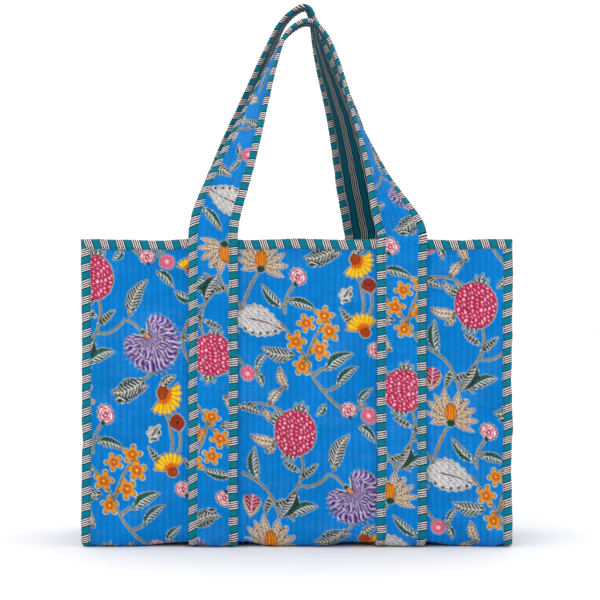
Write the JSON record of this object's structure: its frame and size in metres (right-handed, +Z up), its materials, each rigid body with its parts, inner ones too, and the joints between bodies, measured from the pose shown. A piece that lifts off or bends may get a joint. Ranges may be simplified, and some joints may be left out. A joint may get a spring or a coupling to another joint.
{
  "type": "knitting bag",
  "caption": "Structured quilted cotton tote with bound seams and rim, open top, and two long strap handles that run right round the body and fold over its rim.",
  "frame": {"origin": "middle of the bag's footprint, on the surface that the undersides of its straps rest on", "axes": "+Z up towards the handles, +Y from the front to the back, +X to the right as seen from the front"},
  "size_m": [0.4516, 0.1872, 0.5839],
  "materials": {
    "floral_print": "matt printed cotton",
    "striped_binding": "matt striped cotton, cut on the bias",
    "striped_lining": "matt striped cotton",
    "batting": "soft cotton wadding"
  },
  "bodies": {
    "bag_body": {"outer_wrap": "floral_print", "batting_wrap": "batting", "lining_wrap": "striped_lining", "gusset_left_outer": "floral_print", "gusset_left_batting": "batting", "gusset_left_lining": "striped_lining", "gusset_right_outer": "floral_print", "gusset_right_batting": "batting", "gusset_right_lining": "striped_lining", "seam_binding_left": "striped_binding", "seam_binding_right": "striped_binding", "rim_binding": "striped_binding", "lower_strap_left_face": "floral_print", "lower_strap_left_batting": "batting", "lower_strap_left_backing": "striped_lining", "lower_strap_left_binding_left": "striped_binding", "lower_strap_left_binding_right": "striped_binding", "lower_strap_right_face": "floral_print", "lower_strap_right_batting": "batting", "lower_strap_right_backing": "striped_lining", "lower_strap_right_binding_left": "striped_binding", "lower_strap_right_binding_right": "striped_binding"},
    "front_handle": {"front_handle_face": "floral_print", "front_handle_batting": "batting", "front_handle_backing": "striped_lining", "front_handle_binding_inner": "striped_binding", "front_handle_binding_outer": "striped_binding"},
    "back_handle": {"back_handle_face": "floral_print", "back_handle_batting": "batting", "back_handle_backing": "striped_lining", "back_handle_binding_inner": "striped_binding", "back_handle_binding_outer": "striped_binding"}
  },
  "joints": [
    {"name": "front_handle_fold", "type": "hinge", "parent": "bag_body", "child": "front_handle", "pos_m": [0.011, -0.0919, 0.323], "axis": [1, 0, 0], "range_deg": [0, 170]},
    {"name": "back_handle_fold", "type": "hinge", "parent": "bag_body", "child": "back_handle", "pos_m": [-0.008, 0.0919, 0.323], "axis": [-1, 0, 0], "range_deg": [0, 170]}
  ]
}
